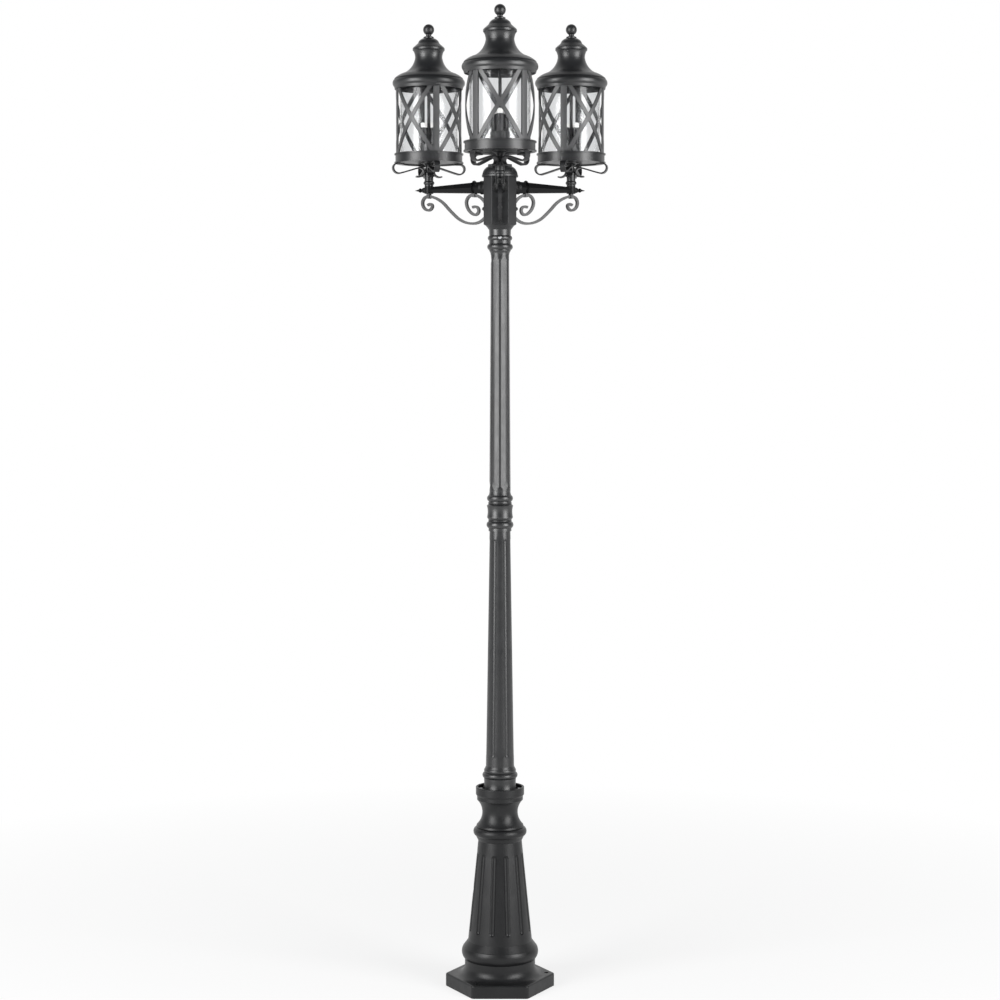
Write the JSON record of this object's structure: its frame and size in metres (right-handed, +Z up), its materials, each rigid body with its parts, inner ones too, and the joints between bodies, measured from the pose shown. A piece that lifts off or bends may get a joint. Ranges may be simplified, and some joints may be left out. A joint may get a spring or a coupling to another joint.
{
  "type": "triple head lamp post",
  "caption": "Tall garden lamp post with a hexagonal foot, a fluted tapered pole and arms with wrought scrolls that carry round glass lanterns with bell roofs.",
  "frame": {"origin": "on the pole's axis at the underside of the anchor plate, at ground level", "axes": "+Z up along the pole, -Y towards the front arm and the viewer, +X to the viewer's right"},
  "size_m": [0.5384, 0.4895, 2.3999],
  "materials": {
    "black_casting": "satin black powder coat on castings",
    "black_pole": "satin black powder coat on the pole",
    "black_wrought": "satin black paint on bent flat bar",
    "black_sheet": "satin black paint on spun sheet",
    "black_sleeve": "matt black",
    "white_socket": "glazed white",
    "plain_steel": "zinc plated",
    "clear_glass": "clear, slightly rippled"
  },
  "bodies": {
    "post": {"base_casting": "black_casting", "base_cup_screws": "plain_steel", "lower_pole": "black_pole", "mid_collar": "black_casting", "coupling_sleeve": "plain_steel", "upper_pole": "black_pole", "head_collar": "black_casting", "head_set_screws": "plain_steel", "hub": "black_casting", "hub_dome": "black_casting", "hub_screws": "plain_steel", "arm_front": "black_casting", "arm_tip_front": "black_casting", "scroll_bracket_front": "black_wrought", "scroll_clips_front": "black_wrought", "stem_front": "black_casting", "scroll_feet_front": "black_wrought", "base_pan_front": "black_sheet", "gallery_ring_front": "black_sheet", "cage_front": "black_wrought", "glass_front": "clear_glass", "candle_cup_front": "black_sheet", "candle_sleeves_front": "black_sleeve", "lamp_sockets_front": "white_socket", "centre_rod_front": "black_wrought", "arm_right": "black_casting", "arm_tip_right": "black_casting", "scroll_bracket_right": "black_wrought", "scroll_clips_right": "black_wrought", "stem_right": "black_casting", "scroll_feet_right": "black_wrought", "base_pan_right": "black_sheet", "gallery_ring_right": "black_sheet", "cage_right": "black_wrought", "glass_right": "clear_glass", "candle_cup_right": "black_sheet", "candle_sleeves_right": "black_sleeve", "lamp_sockets_right": "white_socket", "centre_rod_right": "black_wrought", "arm_left": "black_casting", "arm_tip_left": "black_casting", "scroll_bracket_left": "black_wrought", "scroll_clips_left": "black_wrought", "stem_left": "black_casting", "scroll_feet_left": "black_wrought", "base_pan_left": "black_sheet", "gallery_ring_left": "black_sheet", "cage_left": "black_wrought", "glass_left": "clear_glass", "candle_cup_left": "black_sheet", "candle_sleeves_left": "black_sleeve", "lamp_sockets_left": "white_socket", "centre_rod_left": "black_wrought"},
    "roof_front": {"roof_front": "black_sheet"},
    "ball_front": {"ball_finial_front": "black_casting"},
    "roof_right": {"roof_right": "black_sheet"},
    "ball_right": {"ball_finial_right": "black_casting"},
    "roof_left": {"roof_left": "black_sheet"},
    "ball_left": {"ball_finial_left": "black_casting"}
  },
  "joints": [
    {"name": "roof_lift_front", "type": "slide", "parent": "post", "child": "roof_front", "axis": [0, 0, 1], "range_m": [0, 0.15]},
    {"name": "ball_turn_front", "type": "hinge", "parent": "roof_front", "child": "ball_front", "pos_m": [0, -0.205, 2.38625], "axis": [0, 0, 1], "continuous": true},
    {"name": "roof_lift_right", "type": "slide", "parent": "post", "child": "roof_right", "axis": [0, 0, 1], "range_m": [0, 0.15]},
    {"name": "ball_turn_right", "type": "hinge", "parent": "roof_right", "child": "ball_right", "pos_m": [0.17753, 0.1025, 2.38625], "axis": [0, 0, 1], "continuous": true},
    {"name": "roof_lift_left", "type": "slide", "parent": "post", "child": "roof_left", "axis": [0, 0, 1], "range_m": [0, 0.15]},
    {"name": "ball_turn_left", "type": "hinge", "parent": "roof_left", "child": "ball_left", "pos_m": [-0.17753, 0.1025, 2.38625], "axis": [0, 0, 1], "continuous": true}
  ]
}
